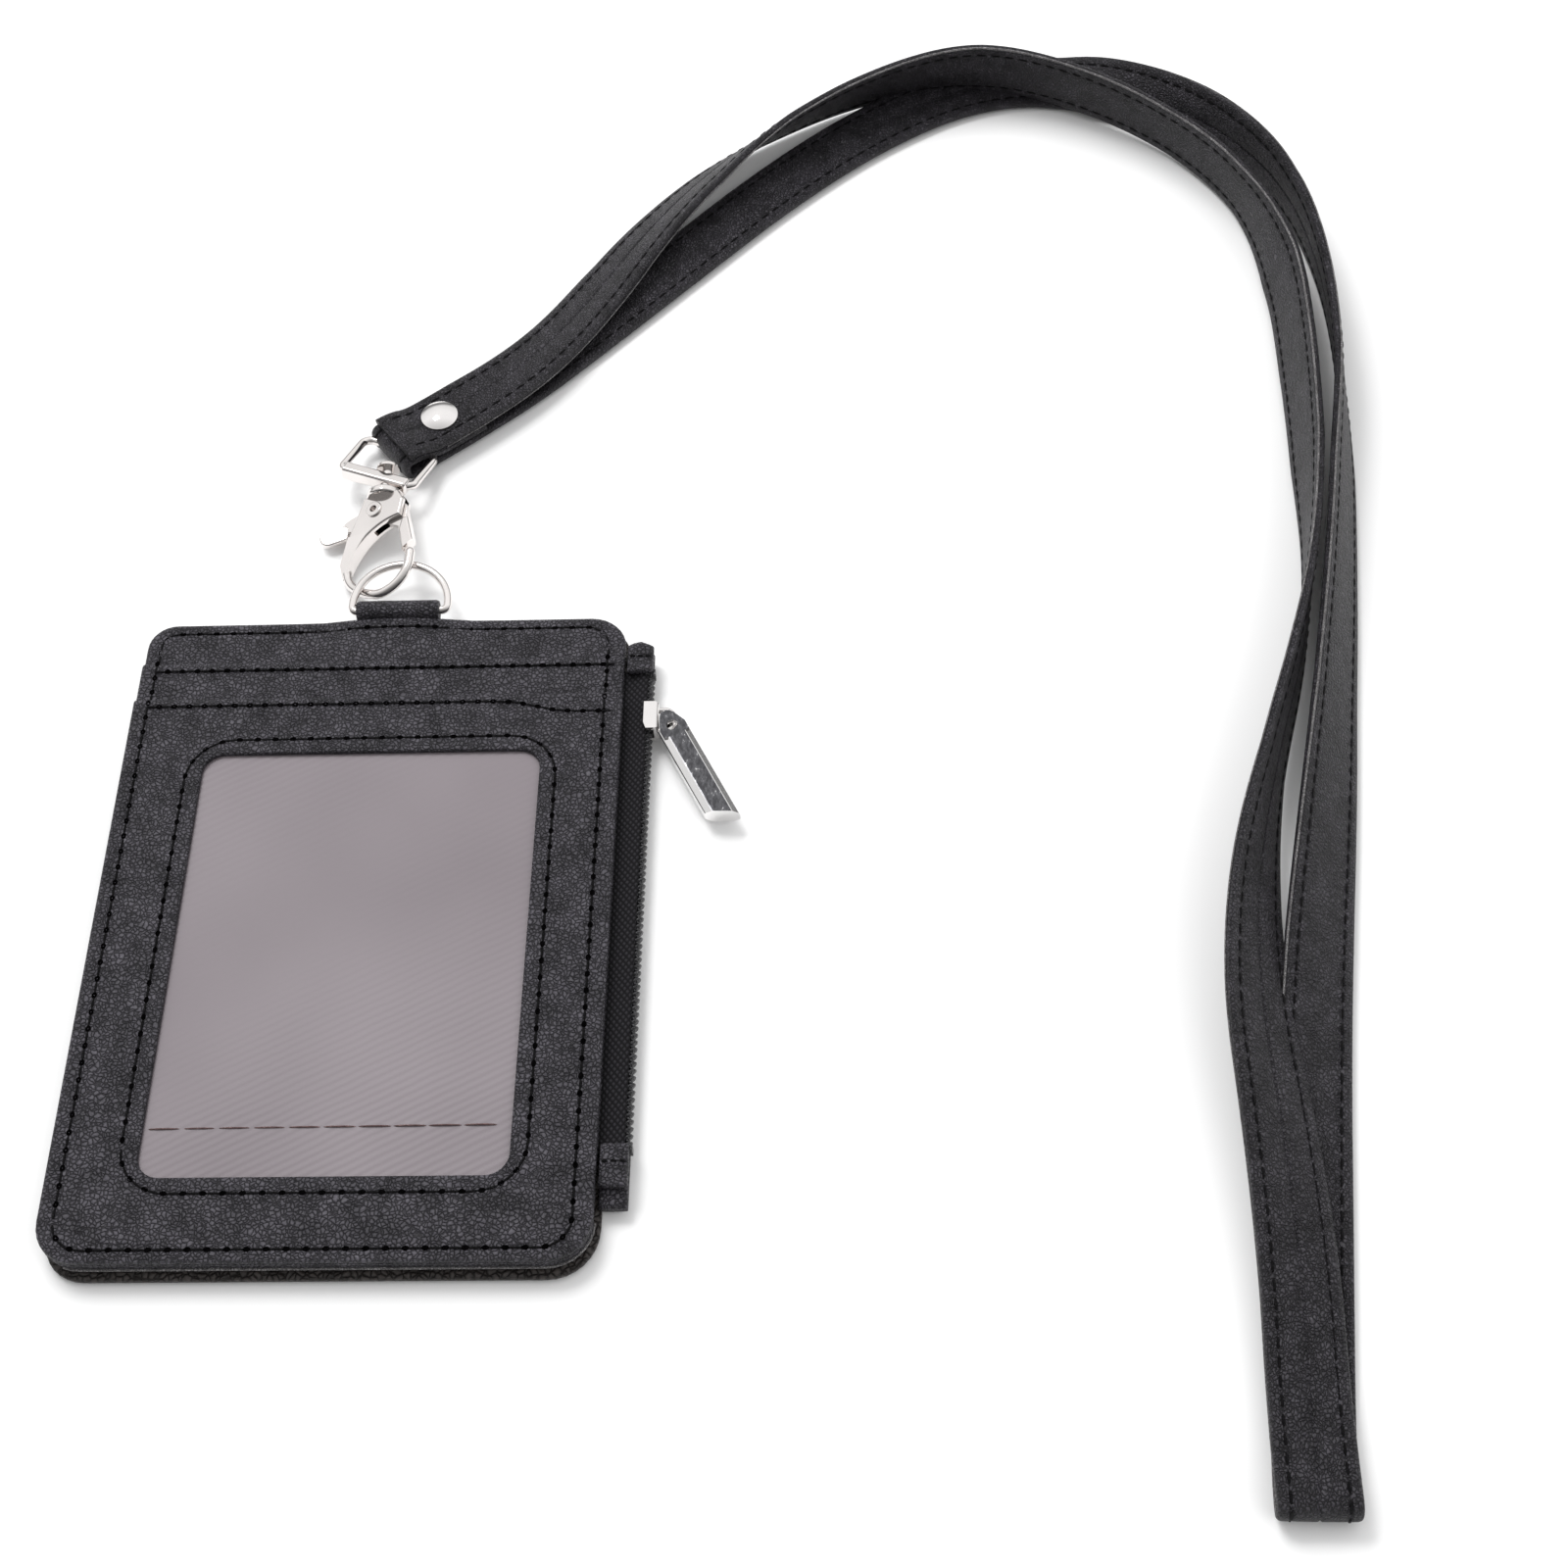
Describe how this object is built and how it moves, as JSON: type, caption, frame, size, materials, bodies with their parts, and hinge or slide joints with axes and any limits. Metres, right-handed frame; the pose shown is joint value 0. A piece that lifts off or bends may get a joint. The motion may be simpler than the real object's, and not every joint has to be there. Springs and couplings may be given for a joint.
{
  "type": "lanyard badge holder",
  "caption": "Leather badge wallet with card slots, clear window and side zip pocket, hung by a D-ring and a swivelling trigger snap from a folded and riveted neck strap.",
  "frame": {"origin": "centre of the holder's back face", "axes": "+X to the zip side, +Y along the holder towards the D-ring, +Z out of the holder's front"},
  "size_m": [0.2041, 0.2805, 0.0079],
  "materials": {
    "black_leather": "fine pebbled grain, low sheen",
    "strap_leather": "fine pebbled grain, rolled edge, low sheen",
    "lining": "thin woven lining",
    "clear_film": "frosted flexible film with fine ribs",
    "zip_tape": "twill-woven tape",
    "zip_coil": "moulded coil",
    "nickel": "polished nickel plate",
    "chrome": "polished plate"
  },
  "bodies": {
    "strap": {"neck_strap": "strap_leather", "rivet_cap": "chrome", "rivet_base": "chrome"},
    "loop": {"swivel_loop": "nickel"},
    "clasp": {"clasp_hook": "nickel", "swivel_post": "nickel", "gate_pin": "nickel", "gate_spring": "nickel"},
    "gate": {"clasp_gate": "nickel"},
    "ring": {"d_ring": "nickel"},
    "holder": {"back_panel": "black_leather", "back_lining": "lining", "pocket_lining": "lining", "base_panel": "black_leather", "slot_panel": "black_leather", "window_panel": "black_leather", "window_film": "clear_film", "hang_tab": "black_leather", "zip_tape_front": "zip_tape", "zip_tape_back": "zip_tape", "zip_coil": "zip_coil", "zip_top_stop": "chrome", "zip_bottom_stop": "chrome", "zip_end_top": "black_leather", "zip_end_bottom": "black_leather"},
    "slider": {"zip_slider": "chrome", "zip_bail": "chrome"},
    "pull": {"zip_pull": "chrome"}
  },
  "joints": [
    {"name": "strap_fold", "type": "hinge", "parent": "strap", "child": "loop", "pos_m": [-0.0019, 0.0961, 0.00235], "axis": [0.9397, -0.342, 0], "range_deg": [-60, 60]},
    {"name": "clasp_swivel", "type": "hinge", "parent": "loop", "child": "clasp", "pos_m": [-0.00304, 0.08653, 0.00467], "axis": [0, 0.9976, 0.0698], "continuous": true},
    {"name": "gate_hinge", "type": "hinge", "parent": "clasp", "child": "gate", "pos_m": [-0.00397, 0.07997, 0.00384], "axis": [0.3746, 0.0647, -0.9249], "range_deg": [0, 26], "stiffness_Nm_per_rad": 0.02, "springref_deg": -8.59},
    {"name": "ring_turn", "type": "hinge", "parent": "clasp", "child": "ring", "pos_m": [-0.0023, 0.0681, 0.0036], "axis": [0, 1, 0], "range_deg": [0, 40]},
    {"name": "tab_hinge", "type": "hinge", "parent": "ring", "child": "holder", "pos_m": [0.00155, 0.0592, 0.0036], "axis": [1, 0, 0], "range_deg": [-75, 75]},
    {"name": "zip_slide", "type": "slide", "parent": "holder", "child": "slider", "axis": [0, -1, 0], "range_m": [0, 0.0716]},
    {"name": "pull_hinge", "type": "hinge", "parent": "slider", "child": "pull", "pos_m": [0.04734, 0.03675, 0.0024], "axis": [0, 0, 1], "range_deg": [-4, 130]}
  ]
}
